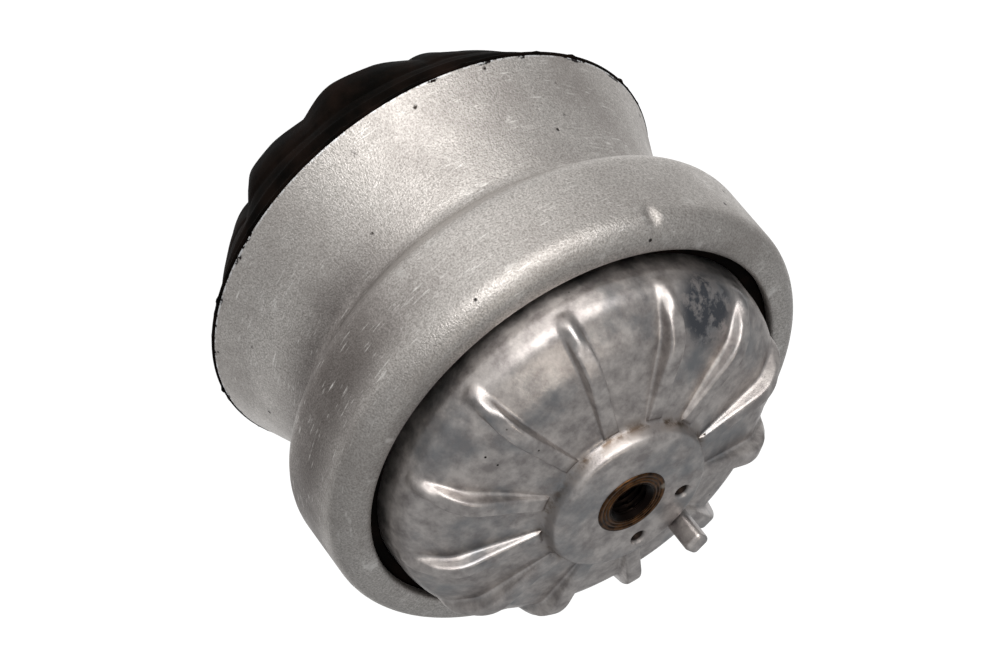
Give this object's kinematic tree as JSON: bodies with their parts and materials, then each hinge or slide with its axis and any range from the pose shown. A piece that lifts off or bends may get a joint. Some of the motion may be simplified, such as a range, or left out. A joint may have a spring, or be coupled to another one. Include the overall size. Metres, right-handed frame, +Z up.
{
  "type": "engine mount",
  "caption": "Fluid-filled engine mount with a spool-shaped aluminium housing, a lobed rubber spring and a ribbed cast dome with a threaded hub.",
  "frame": {"origin": "centre of the core's flat end face, on which the mount stands", "axes": "+Z up the mount's axis from the core's face to the ribbed dome, +X towards the locating lug on the dome's hub"},
  "size_m": [0.093, 0.093, 0.0913],
  "materials": {
    "blasted_aluminium": "blasted, matt",
    "spring_rubber": "soft sheen",
    "core_aluminium": "machined",
    "bush_steel": "yellow zinc plated",
    "plate_steel": "pressed, plain",
    "screw_steel": "zinc plated",
    "plate_aluminium": "die-cast",
    "membrane_rubber": "matt",
    "seal_rubber": "matt, dirty",
    "cast_aluminium": "die-cast, mottled satin"
  },
  "bodies": {
    "root": {"outer_housing": "blasted_aluminium", "main_spring": "spring_rubber", "spring_core": "core_aluminium", "core_thread_bush": "bush_steel", "stop_disc": "plate_steel", "stop_disc_screw": "screw_steel", "seat_ring": "plate_steel", "nozzle_body": "plate_aluminium", "decoupler_membrane": "membrane_rubber", "nozzle_cover": "plate_aluminium", "nozzle_rivets": "screw_steel", "bellows": "membrane_rubber", "bellows_ring": "plate_steel", "edge_seal": "seal_rubber", "dome_cover": "cast_aluminium", "dome_thread_bush": "bush_steel"}
  },
  "joints": []
}
